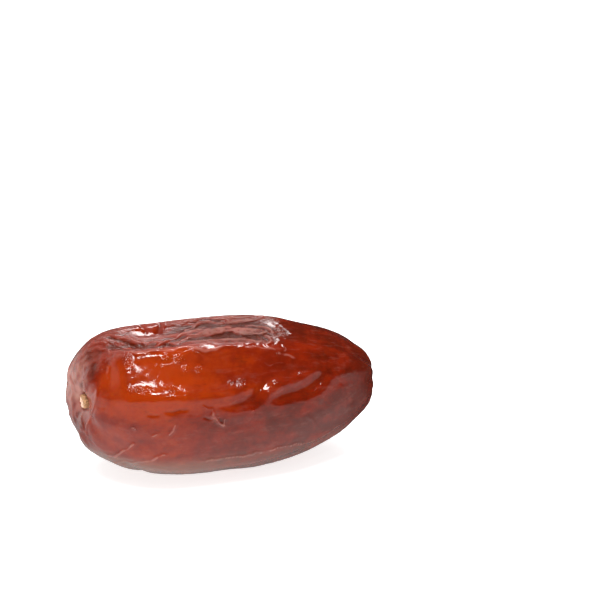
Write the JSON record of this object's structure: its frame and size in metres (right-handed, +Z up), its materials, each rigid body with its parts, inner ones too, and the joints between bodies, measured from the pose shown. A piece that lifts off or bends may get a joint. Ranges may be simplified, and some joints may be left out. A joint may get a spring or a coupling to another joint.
{
  "type": "medjool date",
  "caption": "Dried medjool date lying on its side: long flattened sides with wrinkled glossy skin, a puckered stem end with a stub of stalk, and a tapered tip.",
  "frame": {"origin": "on the surface that the date lies on, under the middle of its bounding box", "axes": "+X along the date towards its tip, with the stem end at -X; +Z up; the broad glossy side faces -Y"},
  "size_m": [0.0468, 0.0232, 0.0212],
  "materials": {
    "skin": "glossy, slightly translucent red-brown fruit skin with fine wrinkles",
    "stalk": "dry, fibrous, pale tan end of the stalk"
  },
  "bodies": {
    "root": {"date": "skin"}
  },
  "joints": []
}
